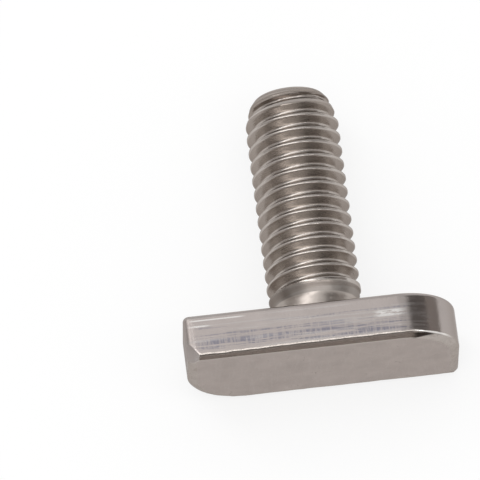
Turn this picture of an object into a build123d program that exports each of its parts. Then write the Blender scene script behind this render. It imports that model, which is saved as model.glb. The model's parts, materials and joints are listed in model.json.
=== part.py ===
from build123d import *
from math import asin, atan2, cos, degrees, hypot, radians, sin, tan
import os

# T slot bolt M8 x 1.25 x 20, one piece: hammer head, smooth neck, rolled right-hand thread.
# Millimetres. It is drawn standing on its axis, with the bearing side of the head at height 0
# and the point up, and is then laid on its side in the way it comes to rest.

# Head. Two opposite corners are round, so it can turn in the slot, and two are square and stop it.
head_length = 23.0
head_width = 10.1
head_thickness = 4.0
round_corner_r = head_width / 2
square_corner_r = 0.55
bearing_edge_r = 0.4
outer_edge_chamfer = 0.45
knocked_corner_back = 0.93      # a facet takes off one square corner at the outer end
knocked_corner_tall = 1.9

# Neck
neck_r = 3.58
neck_foot = 0.45                # the neck widens by this much where it meets the head
neck_end = 1.5                  # heights above the bearing side
swell_end = 2.1

# Thread
major_r = 3.95
pitch = 1.25
thread_depth = 0.74
flank_angle = 30.0              # of each flank, from square to the axis
crest_width = pitch / 7
groove_start = 2.56             # height of the middle of the groove where it comes to full depth
groove_start_turn = 110.0       # and how far round that is, from the head's length
run_out_turns = 0.3
over_crest = 0.06               # how far the thread cutter stands out past the crest

# Point
shank_length = 20.5
shortest_lead = 1.9
lead_end_r = 3.4
point_chamfer = 0.6
point_r = 2.95

# Heights that follow from those sizes. The underside is a quarter turn round from the length.
first_crest = groove_start + pitch * ((90 - groove_start_turn) / 360 + 0.5)
full_crests = int((shank_length - shortest_lead - first_crest) / pitch)
lead_start = first_crest + pitch * full_crests + crest_width / 2
turns_cut = int((shank_length - groove_start) / pitch + 1.5)

# Section of the thread groove, as half widths about its middle.
root_r = major_r - thread_depth
cutter_r = major_r + over_crest
flank_slope = tan(radians(flank_angle))
root_half = (pitch - crest_width) / 2 - thread_depth * flank_slope
mouth_half = (pitch - crest_width) / 2 + over_crest * flank_slope

# The groove rises out of the neck as it runs out, along a cone.
run_out_rise = neck_r - root_r + 0.12
run_out_fall = run_out_turns * pitch
run_out_low = groove_start - run_out_fall
run_out_cone = atan2(run_out_rise, run_out_fall)


def upright_plane(turn, origin=(0, 0, 0)):
    """A plane that stands along the axis, turned about it by a number of degrees."""
    across = (cos(radians(turn)), sin(radians(turn)), 0)
    square = (sin(radians(turn)), -cos(radians(turn)), 0)
    return Plane(origin=origin, x_dir=across, z_dir=square)


def is_round_corner(corner):
    """True at the two opposite corners of the head that are round."""
    return corner.X * corner.Y < -head_length * head_width / 5


def is_square_corner(corner):
    """True at the two opposite corners of the head that are square."""
    return corner.X * corner.Y > head_length * head_width / 5


with BuildPart() as head:
    with BuildSketch():
        Rectangle(head_length, head_width)
        fillet(vertices().filter_by(is_round_corner), radius=round_corner_r)
        fillet(vertices().filter_by(is_square_corner), radius=square_corner_r)
    extrude(amount=-head_thickness)
    fillet(faces().sort_by(Axis.Z)[-1].edges(), radius=bearing_edge_r)
    chamfer(faces().sort_by(Axis.Z)[0].edges(), length=outer_edge_chamfer)
    outer_corner = (-head_length / 2, -head_width / 2, -head_thickness)
    with BuildSketch(upright_plane(225, outer_corner)):
        with BuildLine():
            Polyline(
                (-1.5 * knocked_corner_back, -0.5 * knocked_corner_tall),
                (0.5 * knocked_corner_back, -0.5 * knocked_corner_tall),
                (0.5 * knocked_corner_back, 1.5 * knocked_corner_tall),
                close=True,
            )
        make_face()
    extrude(amount=4 * knocked_corner_back, both=True, mode=Mode.SUBTRACT)

# The groove as it runs out, and one full turn of it, both started at the head's length.
with BuildPart() as run_out:
    with BuildLine():
        Helix(
            pitch=pitch / cos(run_out_cone),
            height=run_out_fall,
            radius=root_r + run_out_rise,
            center=(0, 0, run_out_low),
            cone_angle=-degrees(run_out_cone),
        )
    with BuildSketch(Plane.XZ):
        with BuildLine():
            Polyline(
                (root_r + run_out_rise, run_out_low - root_half),
                (cutter_r + run_out_rise, run_out_low - mouth_half),
                (cutter_r + run_out_rise, run_out_low + mouth_half),
                (root_r + run_out_rise, run_out_low + root_half),
                close=True,
            )
        make_face()
    sweep(is_frenet=True)

with BuildPart() as groove_turn:
    with BuildLine():
        Helix(pitch=pitch, height=pitch, radius=root_r, center=(0, 0, groove_start))
    with BuildSketch(Plane.XZ):
        with BuildLine():
            Polyline(
                (root_r, groove_start - root_half),
                (cutter_r, groove_start - mouth_half),
                (cutter_r, groove_start + mouth_half),
                (root_r, groove_start + root_half),
                close=True,
            )
        make_face()
    sweep(is_frenet=True)

# The shank is revolved, then cut by the groove turn after turn, and the head goes under it.
with BuildPart() as bolt:
    with BuildSketch(Plane.XZ):
        with BuildLine():
            Polyline(
                (0, -head_thickness / 2),
                (neck_r + neck_foot, -head_thickness / 2),
                (neck_r + neck_foot, 0),
                (neck_r, neck_foot),
                (neck_r, neck_end),
                (major_r, swell_end),
                (major_r, lead_start),
                (lead_end_r, shank_length - point_chamfer),
                (point_r, shank_length),
                (0, shank_length),
                close=True,
            )
        make_face()
    revolve(axis=Axis.Z)
    with Locations(Rotation(0, 0, groove_start_turn - 360 * run_out_turns)):
        add(run_out.part, mode=Mode.SUBTRACT)
    for turn in range(turns_cut):
        with Locations(Location((0, 0, pitch * turn), (0, 0, groove_start_turn))):
            add(groove_turn.part, mode=Mode.SUBTRACT)
    add(head.part)

# At rest it bears on the rounded bearing edge of the head and on the last full crest, so the
# point is lower than the head and the axis leans down by this much.
crest_reach = lead_start + bearing_edge_r
width_reach = head_width / 2 - bearing_edge_r - major_r
lean = atan2(width_reach, crest_reach) + asin(bearing_edge_r / hypot(crest_reach, width_reach))
axis_height = major_r * cos(lean) + lead_start * sin(lean)
back_end = -head_thickness * cos(lean) - (head_width / 2 - outer_edge_chamfer) * sin(lean)
front_end = shank_length * cos(lean) + point_r * sin(lean)
rest_plane = Plane(
    origin=(0, -(back_end + front_end) / 2, axis_height),
    x_dir=(1, 0, 0),
    z_dir=(0, cos(lean), -sin(lean)),
)

with BuildPart() as t_slot_bolt:
    with Locations(rest_plane):
        add(bolt.part)

os.makedirs("parts", exist_ok=True)
t_slot_bolt.part.label = "t_slot_bolt"
export_step(t_slot_bolt.part, "parts/t_slot_bolt.step")
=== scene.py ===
# T slot bolt: a hammer head, a smooth neck and a rolled M8 thread, lying on its side.
# The shapes are worked out in millimetres with the bolt upright: the bearing face is at height 0,
# the head lies below it and the shank stands above it. They are laid down at the end.
import bpy
import bmesh
import json
from math import cos, pi, radians, sin, sqrt, tan
from mathutils import Matrix, Vector
from mathutils.noise import noise as wander


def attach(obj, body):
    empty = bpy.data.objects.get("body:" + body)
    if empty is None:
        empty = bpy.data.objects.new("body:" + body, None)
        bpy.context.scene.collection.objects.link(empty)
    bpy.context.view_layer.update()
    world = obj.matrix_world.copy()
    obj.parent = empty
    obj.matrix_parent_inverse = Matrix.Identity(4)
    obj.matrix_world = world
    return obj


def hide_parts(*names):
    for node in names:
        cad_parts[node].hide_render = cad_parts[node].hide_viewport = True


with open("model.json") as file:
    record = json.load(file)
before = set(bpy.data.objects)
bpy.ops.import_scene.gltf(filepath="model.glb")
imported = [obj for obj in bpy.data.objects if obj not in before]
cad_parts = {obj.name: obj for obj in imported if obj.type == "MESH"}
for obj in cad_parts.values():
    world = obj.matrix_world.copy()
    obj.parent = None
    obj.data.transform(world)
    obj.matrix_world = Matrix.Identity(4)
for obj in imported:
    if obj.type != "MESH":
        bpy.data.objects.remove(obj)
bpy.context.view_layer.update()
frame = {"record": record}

# ------------------------------------------------------------------------ sizes, in millimetres
MM = 0.001                      # a millimetre in metres

HEAD_LENGTH = 23.0
HEAD_WIDTH = 10.1
HEAD_THICKNESS = 4.0
SQUARE_CORNER = 0.55            # radius of the two corners that stop the head in its slot
SMALLEST_CORNER = 0.04          # and what is left of it further in
BEARING_EDGE = 0.4              # rounding round the bearing face
OUTER_CHAMFER = 0.45            # chamfer round the outer face
CRISP_UP = (4.45, 0.35)         # it turns crisp from this high on the outline, over this much,
CRISP_ALONG = (-11.2, 0.5)      # and from this far along the head, over this much
CRISP_ROUNDING = 0.11           # its rounding at the outer face, as a share of it, where crisp
SMEARED_ROUNDING = 0.62         # and elsewhere
SIDE_ROUNDING = 0.085           # between the chamfer and the head's side
KNOCKED_BACK = 0.93             # the knocked corner: how far in, at the outer face,
KNOCKED_TALL = 1.9              # how tall,
KNOCKED_ROUNDING = 0.14         # and how soft its border is

NECK_R = 3.58
NECK_FOOT = 0.45                # hollow curve where the neck meets the head
NECK_END = 1.5
SWELL_END = 2.36                # the neck swells from its end up to here, into the first turn

MAJOR_R = 3.95
PITCH = 1.25
THREAD_DEPTH = 0.74
ROOT_R = MAJOR_R - THREAD_DEPTH
FLANK_SLOPE = tan(radians(30))
CREST_WIDTH = PITCH / 7
GROOVE_START = 2.56
GROOVE_START_TURN = radians(110)
RUN_OUT_TURNS = 0.3
RUN_OUT_LIFT = 0.12             # how far above the neck the groove has risen at its very end
CREST_SOFTENING = 0.08
ROOT_SOFTENING = 0.11

SHANK_LENGTH = 20.5
LEAD_START = 18.2048
LEAD_END_R = 3.4
POINT_CHAMFER = 0.6
POINT_R = 2.95
POINT_SOFTENING = 0.14

LIP = 0.06                      # width of the ring that keeps a flat next to a rounding flat
WELD = 0.0005                   # points closer than this are one
THREAD_WELD = 0.002
RING_REACH = 0.004              # a point this close to a ring's height belongs to it
SHARP_FROM = radians(38)        # edges that turn more than this shade as sharp

# ------------------------------------------------------------------------ how finely it is made
COLUMNS = 144                   # faces round the shank
ROWS = 22                       # faces across one pitch
FIRST_TURN = -2.0               # where the ribbon starts, in turns before the groove
ROUND_STEPS = 44                # faces round a round corner of the head
SQUARE_STEPS = 8                # round a square corner
LONG_STEPS = 26                 # along a long side
SHORT_STEPS = 6                 # along a short side
CHAMFER_STEPS = 6
SIDE_ROUNDING_STEPS = 5
BEARING_STEPS = 8
FOOT_STEPS = 10
POINT_STEPS = 5
KNOCKED_STEPS = 4
SIDE_ROWS = (-2.6, -1.5)        # heights of the rows of faces between the head's roundings
NECK_ROWS = (0.8, 1.15)         # and up the neck
POINT_ROWS = (1.9, 0.8)         # radii of the rings on the flat end of the point

# The finish of each part of the bolt, in the order of its material slots.
ZONES = ("end", "edge", "side", "seat", "thread")


# --------------------------------------------------------------------------- laying it down
def laid_down():
    """The move from the upright bolt, in millimetres, to its place on the floor, in metres."""
    mounts = {m["name"]: m for m in frame["record"]["mounts"]}
    to_point = Vector(mounts["bearing_face"]["axis"]).normalized()
    seat = Vector(mounts["bearing_face"]["pos_m"])
    across = Vector((1, 0, 0))
    down = to_point.cross(across)
    turn = Matrix((across, down, to_point)).transposed().to_4x4()
    return Matrix.Translation((0, seat.y, seat.z)) @ turn @ Matrix.Scale(MM, 4)


# ---------------------------------------------------------------------------- node shorthand
class Tree:
    """A few short ways to add and join nodes."""

    def __init__(self, tree):
        self.tree = tree

    def node(self, kind, **settings):
        made = self.tree.nodes.new(kind)
        for key, value in settings.items():
            setattr(made, key, value)
        return made

    def feed(self, socket, value):
        """Links a socket into an input, or sets the input to a plain value."""
        if isinstance(value, bpy.types.NodeSocket):
            self.tree.links.new(value, socket)
        else:
            socket.default_value = value

    def math(self, operation, *values, clamp=False):
        made = self.node("ShaderNodeMath", operation=operation, use_clamp=clamp)
        for socket, value in zip(made.inputs, values):
            self.feed(socket, value)
        return made.outputs[0]

    def times(self, first, *others):
        """All the values multiplied together."""
        for other in others:
            first = self.math("MULTIPLY", first, other)
        return first

    def largest(self, first, *others):
        for other in others:
            first = self.math("MAXIMUM", first, other)
        return first

    def use(self, kind, settings=None, **inputs):
        """A node with its inputs fed by name; an underscore stands for a space."""
        made = self.node(kind, **(settings or {}))
        for name, value in inputs.items():
            self.feed(made.inputs[name.replace("_", " ")], value)
        return made


# -------------------------------------------------------------------------------- the thread
THREAD_SIZES = ("Pitch", "Major Radius", "Root Radius", "Root Half Width", "Flank Slope",
                "Groove Start", "Start Turn", "Run-out Turns", "Run-out Rise", "Neck Radius",
                "Neck End", "Swell End", "Lead Start", "Lead End Radius", "Chamfer Start",
                "Point Radius", "Shank Length", "End Height", "First Turn", "Turns",
                "Softening", "Root Softening")
THREAD_COUNTS = ("Columns", "Rows")


def rolled_thread_tree(steel):
    """Geometry nodes: a ribbon of metal a pitch wide, wound up the shank and cut to its outline."""
    group = bpy.data.node_groups.new("rolled thread", "GeometryNodeTree")
    face = group.interface
    face.new_socket("Geometry", in_out="OUTPUT", socket_type="NodeSocketGeometry")
    for name in THREAD_SIZES:
        face.new_socket(name, in_out="INPUT", socket_type="NodeSocketFloat")
    for name in THREAD_COUNTS:
        face.new_socket(name, in_out="INPUT", socket_type="NodeSocketInt")
    t = Tree(group)
    given = t.node("NodeGroupInput").outputs

    # the flat ribbon: as long as there are turns, and one pitch wide
    ribbon_columns = t.math("ADD", t.times(given["Turns"], given["Columns"]), 1.0)
    ribbon_rows = t.math("ADD", given["Rows"], 1.0)
    ribbon = t.use("GeometryNodeMeshGrid", Size_X=given["Turns"], Size_Y=1.0,
                   Vertices_X=ribbon_columns, Vertices_Y=ribbon_rows)
    flat = t.use("ShaderNodeSeparateXYZ", Vector=t.node("GeometryNodeInputPosition").outputs[0])
    half = t.times(given["Turns"], 0.5)
    turn = t.math("ADD", t.math("ADD", flat.outputs["X"], half), given["First Turn"])
    across = flat.outputs["Y"]

    # height up the shank, held between the neck and the point
    raw = t.math("MULTIPLY_ADD", t.math("ADD", turn, across), given["Pitch"], given["Groove Start"])
    height = t.math("MINIMUM", t.largest(raw, given["Neck End"]), given["End Height"])

    # the groove: flat root, straight flanks, and a rise out of the metal as it runs out
    off_middle = t.times(t.math("ABSOLUTE", across), given["Pitch"])
    past_root = t.math("SUBTRACT", off_middle, given["Root Half Width"])
    up_flank = t.math("DIVIDE", past_root, given["Flank Slope"])
    wall = t.math("ADD", given["Root Radius"], up_flank)
    groove = t.math("SMOOTH_MAX", wall, given["Root Radius"], given["Root Softening"])
    before = t.largest(t.times(turn, -1.0), 0.0)
    rise = t.times(before, t.math("DIVIDE", given["Run-out Rise"], given["Run-out Turns"]))
    groove = t.math("ADD", groove, rise)

    # the blank that the thread is rolled on: swell, shank, lead and end chamfer
    def line(h0, r0, h1, r1):
        slope = t.math("DIVIDE", t.math("SUBTRACT", r1, r0), t.math("SUBTRACT", h1, h0))
        return t.math("MULTIPLY_ADD", t.math("SUBTRACT", height, h0), slope, r0)

    swell = line(given["Neck End"], given["Neck Radius"],
                 given["Swell End"], given["Major Radius"])
    lead = line(given["Lead Start"], given["Major Radius"],
                given["Chamfer Start"], given["Lead End Radius"])
    end = line(given["Chamfer Start"], given["Lead End Radius"],
               given["Shank Length"], given["Point Radius"])
    blank = t.math("SMOOTH_MIN", swell, given["Major Radius"], given["Softening"])
    for cut in (lead, end):
        blank = t.math("SMOOTH_MIN", blank, cut, given["Softening"])
    radius = t.math("SMOOTH_MIN", groove, blank, given["Softening"])

    # the ribbon wound up, its turns joined, and dressed
    angle = t.math("MULTIPLY_ADD", turn, 2 * pi, given["Start Turn"])
    place = t.use("ShaderNodeCombineXYZ", X=t.times(radius, t.math("COSINE", angle)),
                  Y=t.times(radius, t.math("SINE", angle)), Z=height)
    wound = t.use("GeometryNodeSetPosition", Geometry=ribbon.outputs["Mesh"],
                  Position=place.outputs[0])
    joined = t.use("GeometryNodeMergeByDistance", Geometry=wound.outputs[0], Distance=THREAD_WELD)
    real = t.use("GeometryNodeRealizeInstances", Geometry=joined.outputs[0])
    smooth = t.use("GeometryNodeSetShadeSmooth", Geometry=real.outputs[0], Shade_Smooth=True)
    dressed = t.use("GeometryNodeSetMaterial", Geometry=smooth.outputs[0], Material=steel)
    group.links.new(dressed.outputs[0], t.node("NodeGroupOutput").inputs[0])
    return group


def rolled_thread(steel):
    """The threaded shank as a plain mesh, upright and in millimetres."""
    seed = bpy.data.meshes.new("shank seed")
    maker = bpy.data.objects.new("shank maker", seed)
    bpy.context.scene.collection.objects.link(maker)
    rule = maker.modifiers.new("thread", "NODES")
    rule.node_group = rolled_thread_tree(steel)
    last_turn = (SHANK_LENGTH - GROOVE_START) / PITCH + 1.0
    sizes = {
        "Pitch": PITCH, "Major Radius": MAJOR_R, "Root Radius": ROOT_R,
        "Root Half Width": (PITCH - CREST_WIDTH) / 2 - THREAD_DEPTH * FLANK_SLOPE,
        "Flank Slope": FLANK_SLOPE,
        "Groove Start": GROOVE_START, "Start Turn": GROOVE_START_TURN,
        "Run-out Turns": RUN_OUT_TURNS, "Run-out Rise": NECK_R - ROOT_R + RUN_OUT_LIFT,
        "Neck Radius": NECK_R, "Neck End": NECK_END, "Swell End": SWELL_END,
        "Lead Start": LEAD_START, "Lead End Radius": LEAD_END_R,
        "Chamfer Start": SHANK_LENGTH - POINT_CHAMFER, "Point Radius": POINT_R,
        "Shank Length": SHANK_LENGTH, "End Height": SHANK_LENGTH - POINT_SOFTENING,
        "First Turn": FIRST_TURN, "Turns": float(int(last_turn - FIRST_TURN) + 1),
        "Softening": CREST_SOFTENING, "Root Softening": ROOT_SOFTENING,
        "Columns": COLUMNS, "Rows": ROWS,
    }
    sockets = {s.name: s.identifier for s in rule.node_group.interface.items_tree
               if s.in_out == "INPUT"}
    for name, value in sizes.items():
        rule[sockets[name]] = value
    ready = maker.evaluated_get(bpy.context.evaluated_depsgraph_get())
    shank = bpy.data.meshes.new_from_object(ready)
    bpy.data.objects.remove(maker)
    return shank


# ------------------------------------------------------------------------------ head and neck
def head_outline(inset):
    """The head's outline, moved in by inset: two opposite corners are round and two are square."""
    x, y = HEAD_LENGTH / 2, HEAD_WIDTH / 2
    square = max(SQUARE_CORNER - inset, SMALLEST_CORNER)
    points = []

    def arc(cx, cy, r, start, steps):
        for k in range(steps + 1):
            a = radians(start + 90 * k / steps)
            points.append((cx + r * cos(a), cy + r * sin(a)))

    def run(x0, y0, x1, y1, steps):
        for k in range(1, steps):
            points.append((x0 + (x1 - x0) * k / steps, y0 + (y1 - y0) * k / steps))

    right, left = x - inset, inset - x
    top, bottom = y - inset, inset - y
    arc(right - square, bottom + square, square, -90, SQUARE_STEPS)
    run(right, bottom + square, right, 0, SHORT_STEPS)
    arc(x - y, 0, y - inset, 0, ROUND_STEPS)
    run(x - y, top, left + square, top, LONG_STEPS)
    arc(left + square, top - square, square, 90, SQUARE_STEPS)
    run(left, top - square, left, 0, SHORT_STEPS)
    arc(y - x, 0, y - inset, 180, ROUND_STEPS)
    run(y - x, bottom, right - square, bottom, LONG_STEPS)
    return points


def bent(p0, p1, p2, steps):
    """A soft corner: points on the curve from p0 to p2 that leans towards p1, ends included."""
    out = []
    for k in range(steps + 1):
        u = k / steps
        weights = ((1 - u) ** 2, 2 * u * (1 - u), u * u)
        out.append(tuple(weights[0] * a + weights[1] * b + weights[2] * c
                         for a, b, c in zip(p0, p1, p2)))
    return out


def held(value, low=0.0, high=1.0):
    return max(low, min(high, value))


def chamfer_here(x, up):
    """The chamfer's size at a place on the outline, and how softly it meets the outer face there.

    It is crisp along the top, narrower to the left, and smeared soft round the ends and below.
    """
    top = held((up - CRISP_UP[0]) / CRISP_UP[1]) * held((x - CRISP_ALONG[0]) / CRISP_ALONG[1])
    below = 1 - top
    widening = 1.0 + 0.11 * held((x + 3.5) / 6.0, -1.0)
    long_wave = 0.05 * wander(Vector((1.1 * x, 0.9 * up, 3.7)))
    short_wave = 0.03 * wander(Vector((3.7 * x, 2.9 * up, 1.3)))
    size = OUTER_CHAMFER * ((widening - 0.08) * top + 0.9 * below) + (long_wave + short_wave)
    return size, size * (CRISP_ROUNDING * top + SMEARED_ROUNDING * below)


def head_profile(c, soft):
    """(inset, height, zone) up the head's side, from the outer face to the bearing face.

    c is the size of the outer chamfer and soft is the size of its rounding at the outer face.
    """
    t, b, e = HEAD_THICKNESS, BEARING_EDGE, SIDE_ROUNDING
    reach = c + 1.4 * soft                  # how far in the rounding runs on the outer face
    rows = [(OUTER_CHAMFER + 0.62, -t, "end"), (reach + 0.04, -t, "end")]
    outer = bent((reach, -t), (c, -t), (c - soft, -t + soft), CHAMFER_STEPS)
    inner = bent((e, -t + c - e), (0, -t + c), (0, -t + c + e + 0.05), SIDE_ROUNDING_STEPS)
    rows += [(*p, "edge") for p in outer + inner]
    rows += [(0, h, "side") for h in (-t + c + 0.14, *SIDE_ROWS, -b - 0.05)]
    for k in range(BEARING_STEPS + 1):
        a = radians(90 * k / BEARING_STEPS)
        rows.append((b - b * cos(a), -b + b * sin(a), "side"))
    rows += [(b + LIP, 0, "seat")]
    return rows


def add_ring(bm, points):
    return [bm.verts.new(p) for p in points]


def band(bm, lower, upper, zone):
    """Faces between two rings that have as many points each."""
    n = len(lower)
    for k in range(n):
        made = bm.faces.new((lower[k], lower[(k + 1) % n], upper[(k + 1) % n], upper[k]))
        made.material_index = ZONES.index(zone)
        made.smooth = True


def hammer_head(bm):
    """The head up to the ring where its flat bearing face ends; returns that ring."""
    plan = [head_profile(*chamfer_here(x, up)) for x, up in head_outline(0)]
    rings = []
    for row, (_, _, zone) in enumerate(plan[0]):
        points = []
        for k, profile in enumerate(plan):
            inset, height, _ = profile[row]
            x, up = head_outline(inset)[k]
            points.append((x, -up, height))
        points.reverse()
        rings.append((add_ring(bm, points), zone))
    outer = bm.faces.new(list(reversed(rings[0][0])))
    outer.material_index = ZONES.index("end")
    outer.smooth = True
    for (lower, _), (upper, zone) in zip(rings, rings[1:]):
        band(bm, lower, upper, zone)
    return rings[-1][0]


def knock_corner(bm):
    """One square corner of the head is knocked flat at its outer end."""
    corner = Vector((-HEAD_LENGTH / 2, -HEAD_WIDTH / 2, -HEAD_THICKNESS))
    out = Vector((-sqrt(0.5), -sqrt(0.5), 0))
    slope = (out - Vector((0, 0, KNOCKED_BACK / KNOCKED_TALL))).normalized()
    near = corner - out * KNOCKED_BACK
    everything = bm.verts[:] + bm.edges[:] + bm.faces[:]
    cut = bmesh.ops.bisect_plane(bm, geom=everything, plane_co=near, plane_no=slope,
                                 clear_outer=True, dist=WELD)
    rim = [e for e in cut["geom_cut"] if isinstance(e, bmesh.types.BMEdge)]
    zone = ZONES.index("end")
    bmesh.ops.contextual_create(bm, geom=rim, mat_nr=zone, use_smooth=True)
    bmesh.ops.bevel(bm, geom=rim, offset=KNOCKED_ROUNDING, offset_type="OFFSET",
                    segments=KNOCKED_STEPS, profile=0.5, affect="EDGES", clamp_overlap=True,
                    material=zone)


def neck_and_seat(bm, seat_ring, shank_foot):
    """The neck from the thread's foot down to the head, and the flat bearing face round it."""
    turns = [(v.co.x / NECK_R, v.co.y / NECK_R) for v in shank_foot]

    def circle(r, z):
        return add_ring(bm, [(r * c, r * s, z) for c, s in turns])

    rings = [circle(NECK_R + NECK_FOOT + LIP, 0), circle(NECK_R + NECK_FOOT, 0)]
    for k in range(1, FOOT_STEPS + 1):
        a = radians(90 * k / FOOT_STEPS)
        rings.append(circle(NECK_R + NECK_FOOT * (1 - sin(a)), NECK_FOOT * (1 - cos(a))))
    rings += [circle(NECK_R, z) for z in NECK_ROWS] + [shank_foot]
    for lower, upper in zip(rings, rings[1:]):
        band(bm, lower, upper, "seat")
    loops = []
    for ring in (seat_ring, rings[0]):
        for a, b in zip(ring, ring[1:] + ring[:1]):
            loops.append(bm.edges.get((a, b)) or bm.edges.new((a, b)))
    filled = bmesh.ops.triangle_fill(bm, edges=loops, use_beauty=True, use_dissolve=False,
                                     normal=(0, 0, 1))
    for f in filled["geom"]:
        if isinstance(f, bmesh.types.BMFace):
            f.material_index = ZONES.index("seat")
            f.smooth = True


def ring_at(bm, height):
    """The open ring of the shank at that height, in order round it."""
    rim = [v for v in bm.verts if v.is_boundary and abs(v.co.z - height) < RING_REACH]
    start = Vector((1, 0))
    return sorted(rim, key=lambda v: v.co.to_2d().angle_signed(start) % (2 * pi))


def point_end(bm, rim):
    """The soft edge and the flat end of the point."""
    turns = [v.co.to_2d().normalized() for v in rim]
    flat_r = POINT_R - POINT_SOFTENING
    rim_place = (rim[0].co.to_2d().length, SHANK_LENGTH - POINT_SOFTENING)
    edge = bent(rim_place, (POINT_R, SHANK_LENGTH), (flat_r, SHANK_LENGTH), POINT_STEPS)[1:]
    flat = [(r, SHANK_LENGTH) for r in (flat_r - 0.05, *POINT_ROWS)]
    rings = [rim] + [add_ring(bm, [(r * d.x, r * d.y, z) for d in turns]) for r, z in edge + flat]
    for lower, upper in zip(rings, rings[1:]):
        band(bm, lower, upper, "edge")
    cap = bm.faces.new(rings[-1])
    cap.material_index = ZONES.index("edge")
    cap.smooth = True


def bolt_mesh(steels):
    """The whole bolt as one closed mesh, laid down, in metres."""
    shank = rolled_thread(steels[ZONES.index("thread")])
    bm = bmesh.new()
    bm.from_mesh(shank)
    for f in bm.faces:
        f.material_index = ZONES.index("thread")
        f.smooth = True
    foot = ring_at(bm, NECK_END)
    point_end(bm, ring_at(bm, SHANK_LENGTH - POINT_SOFTENING))
    seat_ring = hammer_head(bm)
    neck_and_seat(bm, seat_ring, foot)
    knock_corner(bm)
    bmesh.ops.remove_doubles(bm, verts=bm.verts, dist=WELD)
    bmesh.ops.recalc_face_normals(bm, faces=bm.faces)
    bm.transform(laid_down())
    mesh = bpy.data.meshes.new("t_slot_bolt_steel")
    bm.to_mesh(mesh)
    bm.free()
    for steel in steels:
        mesh.materials.append(steel)
    mesh.set_sharp_from_angle(angle=SHARP_FROM)
    return mesh


# ------------------------------------------------------------------- effects the finishes share
def shared(name, inputs, outputs):
    """A node group that finishes share, with its shorthand, its inputs and its output node."""
    group = bpy.data.node_groups.new(name, "ShaderNodeTree")
    for title, kind, value in inputs:
        socket = group.interface.new_socket(title, in_out="INPUT", socket_type="NodeSocket" + kind)
        if value is not None:
            socket.default_value = value
    for title in outputs:
        group.interface.new_socket(title, in_out="OUTPUT", socket_type="NodeSocketFloat")
    t = Tree(group)
    return group, t, t.node("NodeGroupInput").outputs, t.node("NodeGroupOutput").inputs


def span(t, value, low, high, to_low=0.0, to_high=1.0):
    """Value moved from the range low to high onto to_low to to_high, softly and held inside it."""
    made = t.use("ShaderNodeMapRange", {"interpolation_type": "SMOOTHSTEP", "clamp": True},
                 Value=value, From_Min=low, From_Max=high, To_Min=to_low, To_Max=to_high)
    return made.outputs["Result"]


def noise(t, vector, scale, detail=3.0, roughness=0.55, distortion=0.0):
    made = t.use("ShaderNodeTexNoise", Vector=vector, Scale=scale, Detail=detail,
                 Roughness=roughness, Distortion=distortion)
    return made.outputs["Fac"]


def stretched(t, vector, factors):
    made = t.node("ShaderNodeVectorMath", operation="MULTIPLY")
    t.feed(made.inputs[0], vector)
    t.feed(made.inputs[1], factors)
    return made.outputs[0]


def drawn_lines():
    """Lines that drawing or rolling leaves; Grain is how far each axis is squeezed."""
    group, t, given, out = shared("drawn lines", (
        ("Vector", "Vector", None), ("Grain", "Vector", (1, 1, 1)), ("Scale", "Float", 1.0),
        ("Cover", "Float", 0.5)), ("Mask", "Height"))
    along = stretched(t, given["Vector"], given["Grain"])
    broad = noise(t, along, given["Scale"], 3.0, 0.6)
    edge = t.math("SUBTRACT", 0.68, t.times(given["Cover"], 0.3))
    mask = span(t, broad, edge, t.math("ADD", edge, 0.13))
    fine = noise(t, along, t.times(given["Scale"], 4.0), 4.0, 0.7)
    t.feed(out["Mask"], mask)
    t.feed(out["Height"], t.math("MULTIPLY_ADD", fine, 0.6, t.times(broad, 0.4)))
    return group


def mottling():
    """Soft clouding of the steel and the small pits in it."""
    group, t, given, out = shared("mottling", (
        ("Vector", "Vector", None), ("Scale", "Float", 1.0), ("Amount", "Float", 0.1)),
        ("Shade", "Height"))
    cloud = noise(t, given["Vector"], given["Scale"], 4.0, 0.6, 0.4)
    spots = noise(t, given["Vector"], t.times(given["Scale"], 7.0), 2.0, 0.5)
    pit = span(t, spots, 0.30, 0.42)
    swing = t.times(t.math("SUBTRACT", cloud, 0.5), t.times(given["Amount"], 4.0))
    t.feed(out["Shade"], t.math("ADD", 1.0, swing))
    t.feed(out["Height"], t.math("MULTIPLY_ADD", pit, 0.6, t.times(cloud, 0.4)))
    return group


def edge_wear():
    """Where an edge has been rubbed bright: the normal there differs from a softened one."""
    group, t, given, out = shared("edge wear", (
        ("Vector", "Vector", None), ("Width", "Float", 0.0001), ("Amount", "Float", 1.0)),
        ("Mask",))
    soft = t.node("ShaderNodeBevel", samples=4)
    t.feed(soft.inputs["Radius"], given["Width"])
    plain = t.node("ShaderNodeNewGeometry")
    match = t.node("ShaderNodeVectorMath", operation="DOT_PRODUCT")
    t.feed(match.inputs[0], soft.outputs[0])
    t.feed(match.inputs[1], plain.outputs["Normal"])
    bare = span(t, match.outputs["Value"], 0.995, 0.90)
    broken = span(t, noise(t, given["Vector"], 1.6, 3.0), 0.30, 0.55, 0.35, 1.0)
    t.feed(out["Mask"], t.math("MULTIPLY", t.times(bare, broken), given["Amount"], clamp=True))
    return group


def handling_marks():
    """Short fine scratches in a few directions."""
    group, t, given, out = shared("handling marks", (
        ("Vector", "Vector", None), ("Density", "Float", 0.5), ("Turn", "Float", 0.0)), ("Mask",))
    turned = t.node("ShaderNodeVectorRotate", rotation_type="Y_AXIS")
    t.feed(turned.inputs["Vector"], given["Vector"])
    t.feed(turned.inputs["Angle"], given["Turn"])
    thin = noise(t, stretched(t, turned.outputs[0], (0.5, 1.0, 14.0)), 0.9, 1.5, 0.5)
    off_line = t.math("ABSOLUTE", t.math("SUBTRACT", thin, 0.5))
    line = t.math("SUBTRACT", 1.0, span(t, off_line, 0.0, 0.012))
    patch = span(t, noise(t, given["Vector"], 0.55, 2.0),
                 t.math("SUBTRACT", 0.72, given["Density"]),
                 t.math("SUBTRACT", 0.80, given["Density"]))
    t.feed(out["Mask"], t.times(line, patch))
    return group


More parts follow.
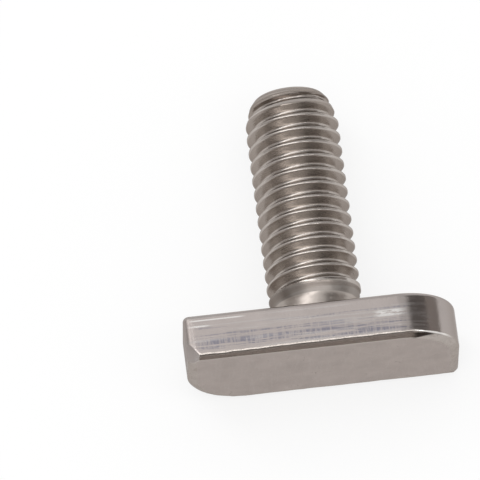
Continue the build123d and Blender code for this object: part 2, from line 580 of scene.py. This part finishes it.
EFFECTS = {"lines": drawn_lines(), "mottle": mottling(), "wear": edge_wear(),
           "marks": handling_marks()}

# ---------------------------------------------------------------------------------- finishes
STEEL_SHEEN = (0.62, 0.59, 0.57, 1)     # tint of the steel's glancing reflections
SMOOTHEST = 0.06                        # no spot of a finish is smoother than this


class Finish(Tree):
    """One finish of the steel: its shader, its place on the bolt, and ways to lay effects on it.

    x runs along the head, y across it and z up the shank, in millimetres on the upright bolt.
    """

    def __init__(self, name, color, roughness):
        self.paint = bpy.data.materials.new(name)
        self.paint.use_nodes = True
        super().__init__(self.paint.node_tree)
        self.shader = self.tree.nodes["Principled BSDF"]
        self.shader.inputs["Metallic"].default_value = 1
        self.shader.inputs["Specular Tint"].default_value = STEEL_SHEEN
        self.paint.diffuse_color = (*color, 1)
        laid = laid_down()
        stand = laid.to_3x3().normalized().inverted()
        level = self.use("ShaderNodeMapping", {"vector_type": "POINT"},
                         Vector=self.node("ShaderNodeTexCoord").outputs["Object"])
        level.inputs["Scale"].default_value = (1 / MM, 1 / MM, 1 / MM)
        level.inputs["Rotation"].default_value = stand.to_euler()
        level.inputs["Location"].default_value = stand @ laid.translation * (-1 / MM)
        self.upright = level.outputs[0]
        self.x, self.y, self.z = self.use("ShaderNodeSeparateXYZ", Vector=self.upright).outputs
        base = self.node("ShaderNodeRGB")
        base.outputs[0].default_value = (*color, 1)
        self.color = base.outputs[0]
        self.rough = roughness
        self.normal = None

    def effect(self, name, **values):
        """One of the shared effects, laid on in the upright bolt's millimetres."""
        made = self.node("ShaderNodeGroup")
        made.node_tree = EFFECTS[name]
        for key, value in {"Vector": self.upright, **values}.items():
            self.feed(made.inputs[key], value)
        return made.outputs

    def within(self, value, centre, half, soft):
        """1 within half of the centre, falling to 0 over soft."""
        off = self.math("ABSOLUTE", self.math("SUBTRACT", value, centre))
        return span(self, off, half + soft, half)

    def tint(self, mask, color, amount=1.0):
        """Moves the colour towards another by the amount, where the mask is 1."""
        mix = self.node("ShaderNodeMix", data_type="RGBA")
        self.feed(mix.inputs["Factor"], mask if amount == 1.0 else self.times(mask, amount))
        self.feed(mix.inputs[6], self.color)
        self.feed(mix.inputs[7], (*color, 1))
        self.color = mix.outputs[2]

    def shade(self, value):
        """Multiplies the colour by a value."""
        made = self.node("ShaderNodeVectorMath", operation="SCALE")
        self.feed(made.inputs[0], self.color)
        self.feed(made.inputs["Scale"], value)
        self.color = made.outputs[0]

    def roughen(self, mask, amount):
        self.rough = self.math("MULTIPLY_ADD", mask, amount, self.rough)

    def relief(self, height, depth):
        """Bump from a height; depth is in millimetres."""
        made = self.use("ShaderNodeBump", Height=height, Strength=1.0, Distance=depth * MM)
        if self.normal:
            self.feed(made.inputs["Normal"], self.normal)
        self.normal = made.outputs[0]

    def done(self):
        if isinstance(self.rough, bpy.types.NodeSocket):
            self.rough = self.largest(self.rough, SMOOTHEST)
        self.feed(self.shader.inputs["Base Color"], self.color)
        self.feed(self.shader.inputs["Roughness"], self.rough)
        if self.normal:
            self.feed(self.shader.inputs["Normal"], self.normal)
        return self.paint


def satin_end():
    """The flat outer face of the head: even and satin, with faint clouding and short marks."""
    f = Finish("satin_end", (0.44, 0.390, 0.366), 0.30)
    cloud = f.effect("mottle", Scale=0.55, Amount=0.09)
    grain = f.effect("lines", Grain=(7.0, 0.8, 1.0), Scale=0.9, Cover=0.5)
    marks = f.effect("marks", Density=0.12, Turn=0.1)
    wear = f.effect("wear", Width=0.00012, Amount=0.6)
    f.shade(cloud["Shade"])
    f.tint(grain["Mask"], (0.54, 0.50, 0.48), 0.18)
    f.tint(marks["Mask"], (0.16, 0.13, 0.115), 0.7)
    f.tint(wear["Mask"], (0.66, 0.62, 0.58))
    f.roughen(cloud["Height"], 0.08)
    f.relief(cloud["Height"], 0.012)
    f.relief(grain["Height"], 0.004)
    f.relief(marks["Mask"], -0.01)
    return f.done()


def sheared_edge():
    """Chamfer and the end of the point: bright and smeared, with small waves along it."""
    f = Finish("sheared_edge", (0.415, 0.375, 0.347), 0.16)
    smear = f.effect("lines", Grain=(0.5, 0.5, 3.0), Scale=1.1, Cover=0.4)
    cloud = f.effect("mottle", Scale=1.2, Amount=0.08)
    wear = f.effect("wear", Width=0.00012, Amount=0.8)
    f.shade(cloud["Shade"])
    f.tint(smear["Mask"], (0.30, 0.25, 0.225), 0.35)
    f.roughen(smear["Mask"], 0.08)
    f.tint(wear["Mask"], (0.70, 0.67, 0.64))

    # a painted highlight: a bright line where the chamfer meets the round corner; below its start,
    # a painted dark reflection
    up = f.times(f.y, -1.0)
    rim = f.within(f.z, -3.55, 0.05, 0.05)
    round_end = f.times(span(f, f.x, 7.3, 8.0), span(f, up, 2.2, 4.2))
    f.tint(f.times(rim, round_end), (0.92, 0.89, 0.86))
    # painted dark reflection: a dark wedge on the chamfer, below the start of the bright line
    taper = f.math("MULTIPLY_ADD", f.x, -0.16, f.z)
    dark_reflection = f.times(f.within(f.x, 8.4, 0.5, 0.7), span(f, f.z, -3.61, -3.67),
                   span(f, taper, -5.25, -5.17), span(f, up, 3.9, 4.3))
    f.tint(dark_reflection, (0.035, 0.03, 0.028), 0.88)
    f.relief(smear["Height"], 0.008)
    f.relief(cloud["Height"], 0.008)
    return f.done()


def rubbed_patch(f, middle, half, soft):
    """A ragged patch on the long side, given along the head and down its depth."""
    along = f.within(f.x, middle[0], half[0], 0.9)
    down = f.within(f.z, middle[1], half[1], soft)
    ragged = span(f, noise(f, stretched(f, f.upright, (1.0, 0.3, 4.0)), 1.1, 3.0), 0.30, 0.50)
    return f.times(along, down, ragged)


def drawn_side():
    """The long side of the head: smooth, with broken bluish lines along it and paler patches."""
    f = Finish("drawn_side", (0.415, 0.371, 0.352), 0.17)
    cloud = f.effect("mottle", Scale=0.5, Amount=0.05)
    lines = f.effect("lines", Grain=(0.16, 0.9, 4.6), Scale=0.8, Cover=0.55)
    wear = f.effect("wear", Width=0.00012, Amount=0.3)
    f.shade(cloud["Shade"])

    # bluish lines at three depths, broken up, and fading out before the head's ends
    long = span(f, noise(f, stretched(f, f.upright, (0.22, 0.5, 4.4)), 1.0, 3.0, 0.6), 0.44, 0.56)
    ticks = noise(f, stretched(f, f.upright, (5.0, 0.5, 0.8)), 0.8, 2.0)
    ticks = span(f, ticks, 0.38, 0.58, 0.30, 1.0)
    low = f.within(f.z, -2.85, 0.32, 0.30)
    high = f.within(f.z, -2.05, 0.10, 0.16)
    thin = f.within(f.z, -1.28, 0.04, 0.10)
    blue = f.largest(low, f.times(high, 0.9), f.times(thin, 0.7))
    ends = f.times(span(f, f.x, 8.0, 6.6), span(f, f.x, -11.0, -9.8))
    f.tint(f.times(blue, f.times(long, ticks), ends), (0.205, 0.197, 0.235), 0.9)

    # rubbed patches, on the upper of the two long sides only
    patches = f.largest(rubbed_patch(f, (5.8, -1.72), (0.7, 0.20), 0.16),
                        rubbed_patch(f, (-8.7, -0.58), (1.7, 0.03), 0.05),
                        rubbed_patch(f, (-10.2, -1.10), (0.3, 0.04), 0.06))
    f.tint(f.times(patches, span(f, f.y, -4.6, -5.0)), (0.72, 0.70, 0.68), 0.85)
    f.tint(lines["Mask"], (0.49, 0.475, 0.465), 0.30)

    # a rougher left end, and a right end painted darker, a painted dark reflection on the round
    # corner
    f.roughen(span(f, f.x, -10.6, -11.0), 0.28)
    f.tint(span(f, f.x, 8.6, 10.0), (0.40, 0.36, 0.34), 0.8)
    f.tint(wear["Mask"], (0.68, 0.65, 0.63))
    f.roughen(lines["Mask"], 0.08)
    f.relief(lines["Height"], 0.0028)
    f.relief(cloud["Height"], 0.003)
    return f.done()


def smooth_neck():
    """Neck and bearing face: turned smooth, with faint rings."""
    f = Finish("smooth_neck", (0.44, 0.395, 0.362), 0.30)
    rings = f.effect("lines", Grain=(0.25, 0.25, 5.0), Scale=1.0, Cover=0.4)
    cloud = f.effect("mottle", Scale=0.8, Amount=0.07)
    wear = f.effect("wear", Width=0.00010, Amount=0.5)
    f.shade(cloud["Shade"])
    f.tint(rings["Mask"], (0.30, 0.26, 0.235), 0.25)
    f.tint(wear["Mask"], (0.66, 0.63, 0.60))
    f.relief(rings["Height"], 0.006)
    f.relief(cloud["Height"], 0.012)
    return f.done()


def place_in_pitch(f):
    """Where a point lies across the thread: 0 in the groove, -0.5 on the crest below, 0.5 above."""
    round_it = f.math("DIVIDE", f.math("ARCTAN2", f.y, f.x), 2 * pi)
    along = f.math("DIVIDE", f.math("SUBTRACT", f.z, GROOVE_START), PITCH)
    off = f.math("SUBTRACT", along, round_it)
    off = f.math("ADD", off, GROOVE_START_TURN / (2 * pi) + 0.5)
    return f.math("SUBTRACT", f.math("FRACT", off), 0.5)


def rolled():
    """The rolled thread: flanks painted pale as a painted highlight, rougher flanks painted dark as
    a painted shade, crests painted paler (partly rubbed, partly a painted highlight), fine lines.
    """
    f = Finish("rolled_thread", (0.43, 0.388, 0.358), 0.22)
    away = f.node("ShaderNodeVectorMath", operation="LENGTH")
    f.feed(away.inputs[0], stretched(f, f.upright, (1.0, 1.0, 0.0)))
    radius = away.outputs["Value"]
    cloud = f.effect("mottle", Scale=0.9, Amount=0.04)
    rings = f.effect("lines", Grain=(0.22, 0.22, 5.5), Scale=1.1, Cover=0.5)
    f.shade(cloud["Shade"])

    # flanks that face the point are painted pale, a painted highlight, except on the lead; the
    # flanks that face the head are rougher and painted dark brown, a painted shade
    across = place_in_pitch(f)
    flank = span(f, radius, 3.90, 3.84)
    pale_painted_flank = f.times(flank, span(f, across, 0.03, -0.06), span(f, f.z, 18.9, 18.3))
    matt_shaded_flank = f.times(flank, span(f, across, 0.09, 0.14))
    f.tint(pale_painted_flank, (0.72, 0.69, 0.66), 0.9)
    f.tint(matt_shaded_flank, (0.335, 0.292, 0.262), 0.9)
    f.roughen(matt_shaded_flank, 0.04)
    f.tint(rings["Mask"], (0.30, 0.26, 0.235), 0.18)

    # crests painted paler in places: partly rubbed wear, partly a painted highlight
    crest = span(f, radius, 3.86, 3.94)
    rubbed_and_highlit = f.times(crest, span(f, noise(f, f.upright, 1.3, 3.0), 0.32, 0.55, 0.35, 1.0))
    f.tint(rubbed_and_highlit, (0.60, 0.565, 0.535), 0.30)
    f.roughen(crest, -0.06)

    # the swell below the thread: rougher, and painted dark, a painted shade like that on the flanks
    # facing the head
    swell = span(f, f.z, 2.42, 2.30)
    f.tint(swell, (0.22, 0.19, 0.17), 0.8)
    f.roughen(swell, 0.06)

    # ripples left by turning, at the point
    point = span(f, f.z, 19.0, 19.5)
    wave = f.math("MULTIPLY_ADD", noise(f, f.upright, 0.7, 2.0), 4.0, f.times(f.z, 19.0))
    wave = f.times(f.math("MULTIPLY_ADD", f.math("SINE", wave), 0.5, 0.5), point)
    f.tint(wave, (0.25, 0.215, 0.195), 0.5)
    f.relief(wave, 0.03)
    f.roughen(rings["Mask"], 0.06)
    f.relief(rings["Height"], 0.008)
    f.relief(cloud["Height"], 0.006)
    return f.done()


# ------------------------------------------------------------------------------------ the bolt
steels = [satin_end(), sheared_edge(), drawn_side(), smooth_neck(), rolled()]     # as in ZONES

bolt = bpy.data.objects.new("t_slot_bolt_steel", bolt_mesh(steels))
bpy.context.scene.collection.objects.link(bolt)
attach(bolt, "root")
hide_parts("t_slot_bolt")

# ------------------------------------------------------------------------- stage, in metres
SKY = 0.78
FLOOR_REACH = 0.6
FLOOR_GLOW = 0.78               # how much of the floor's look is plain white, where it is seen
MIDDLE = (0, 0, 0.004)          # of the bolt
BEHIND = (0, 0.1, 0.004)        # the right-hand cards face this spot

SOFT_BOXES = (
    # name, place, aim, width, height, power in watts
    ("left box", (-0.135, 0.12, 0.38), MIDDLE, 0.125, 0.50, 0.42),
    ("back box", (-0.012, 0.20, 0.38), MIDDLE, 0.11, 0.26, 0.028),
    ("front box", (0.09, -0.115, 0.40), (0.09, 0, 0.004), 0.58, 0.07, 0.29),
)
CARDS = (
    # name, place, aim, width, height, colour
    ("right card", (0.275, 0.2345, 0.301), BEHIND, 0.228, 0.27, (0.155, 0.145, 0.14)),
    ("low right card", (0.40, 0.23, 0.20), BEHIND, 0.26, 0.46, (0.39, 0.36, 0.34)),
    ("low left card", (-0.42, 0.10, 0.16), MIDDLE, 0.24, 0.70, (0.40, 0.37, 0.35)),
    ("front card", (0, -0.30, 0.30), MIDDLE, 0.9, 0.17, (0.16, 0.145, 0.135)),
    ("low front card", (0, -0.40, 0.14), MIDDLE, 0.9, 0.17, (0.40, 0.35, 0.32)),
)

AZIMUTH = radians(-8.64)        # the camera looks from a little left of the front,
ELEVATION = radians(71.14)      # steeply down,
ROLL = radians(1.855)           # and is turned a little about its own axis
DISTANCE = 0.9
SHIFT_RIGHT = 0.005575          # the bolt lies this far right of the middle of the view
SHIFT_UP = 0.000359
LENS = 800.4                    # millimetres, on a sensor 36 mm wide
SENSOR = 36


def flat_sheet(name, spot, width, height):
    """A flat sheet on a spot's own plane, linked to the scene; gives the object and its mesh."""
    mesh = bpy.data.meshes.new(name)
    w, h = width / 2, height / 2
    corners = [spot @ Vector(c) for c in ((-w, -h, 0), (w, -h, 0), (w, h, 0), (-w, h, 0))]
    mesh.from_pydata(corners, [], [(0, 1, 2, 3)])
    made = bpy.data.objects.new(name, mesh)
    bpy.context.scene.collection.objects.link(made)
    return made, mesh


def facing(place, aim):
    """The turn that points a lamp or a card from its place at its aim."""
    return (Vector(aim) - Vector(place)).to_track_quat("-Z", "Y")


def plain_floor():
    """A pale floor that is white in the open and keeps a soft shadow."""
    floor, mesh = flat_sheet("floor", Matrix.Identity(4), 2 * FLOOR_REACH, 2 * FLOOR_REACH)
    paint = bpy.data.materials.new("pale floor")
    paint.use_nodes = True
    t = Tree(paint.node_tree)
    nodes = paint.node_tree.nodes
    nodes.remove(nodes["Principled BSDF"])
    cover = t.use("ShaderNodeBsdfDiffuse", Color=(0.93, 0.93, 0.93, 1))
    glow = t.use("ShaderNodeEmission", Color=(1, 1, 1, 1), Strength=1.0)
    path = t.node("ShaderNodeLightPath").outputs
    seen = t.largest(path["Is Camera Ray"], path["Is Glossy Ray"], path["Is Transmission Ray"])
    mixed = t.node("ShaderNodeMixShader")
    t.feed(mixed.inputs[0], t.times(seen, FLOOR_GLOW))
    t.feed(mixed.inputs[1], cover.outputs[0])
    t.feed(mixed.inputs[2], glow.outputs[0])
    t.feed(nodes["Material Output"].inputs[0], mixed.outputs[0])
    mesh.materials.append(paint)


def soft_box(name, place, aim, width, height, power):
    lamp = bpy.data.lights.new(name, "AREA")
    lamp.shape = "RECTANGLE"
    lamp.size, lamp.size_y = width, height
    lamp.energy = power
    made = bpy.data.objects.new(name, lamp)
    made.location = place
    made.rotation_euler = facing(place, aim).to_euler()
    bpy.context.scene.collection.objects.link(made)


def card(name, place, aim, width, height, color):
    """A matt card that only shows in the steel's reflections."""
    spot = Matrix.Translation(place) @ facing(place, aim).to_matrix().to_4x4()
    made, mesh = flat_sheet(name, spot, width, height)
    paint = bpy.data.materials.new(name)
    paint.use_nodes = True
    shader = paint.node_tree.nodes["Principled BSDF"]
    shader.inputs["Base Color"].default_value = (*color, 1)
    shader.inputs["Roughness"].default_value = 0.9
    mesh.materials.append(paint)
    made.visible_camera = False
    made.visible_shadow = False
    made.visible_diffuse = False


def studio():
    world = bpy.data.worlds.new("soft studio")
    world.use_nodes = True
    bpy.context.scene.world = world
    sky = world.node_tree.nodes["Background"]
    sky.inputs["Color"].default_value = (1, 1, 1, 1)
    sky.inputs["Strength"].default_value = SKY
    for box in SOFT_BOXES:
        soft_box(*box)
    for sheet in CARDS:
        card(*sheet)


def camera():
    eye = bpy.data.cameras.new("camera")
    eye.sensor_width = SENSOR
    eye.lens = LENS
    eye.clip_start, eye.clip_end = 0.05, 20
    made = bpy.data.objects.new("camera", eye)
    back = Vector((sin(AZIMUTH) * cos(ELEVATION), -cos(AZIMUTH) * cos(ELEVATION), sin(ELEVATION)))
    level = Vector((cos(AZIMUTH), sin(AZIMUTH), 0))
    steep = back.cross(level)
    right = level * cos(ROLL) + steep * sin(ROLL)
    up = steep * cos(ROLL) - level * sin(ROLL)
    made.location = Vector(MIDDLE) + back * DISTANCE - right * SHIFT_RIGHT - up * SHIFT_UP
    made.rotation_mode = "QUATERNION"
    made.rotation_quaternion = Matrix((right, up, back)).transposed().to_quaternion()
    bpy.context.scene.collection.objects.link(made)
    bpy.context.scene.camera = made


plain_floor()
studio()
camera()
bpy.context.scene.view_settings.view_transform = "Standard"
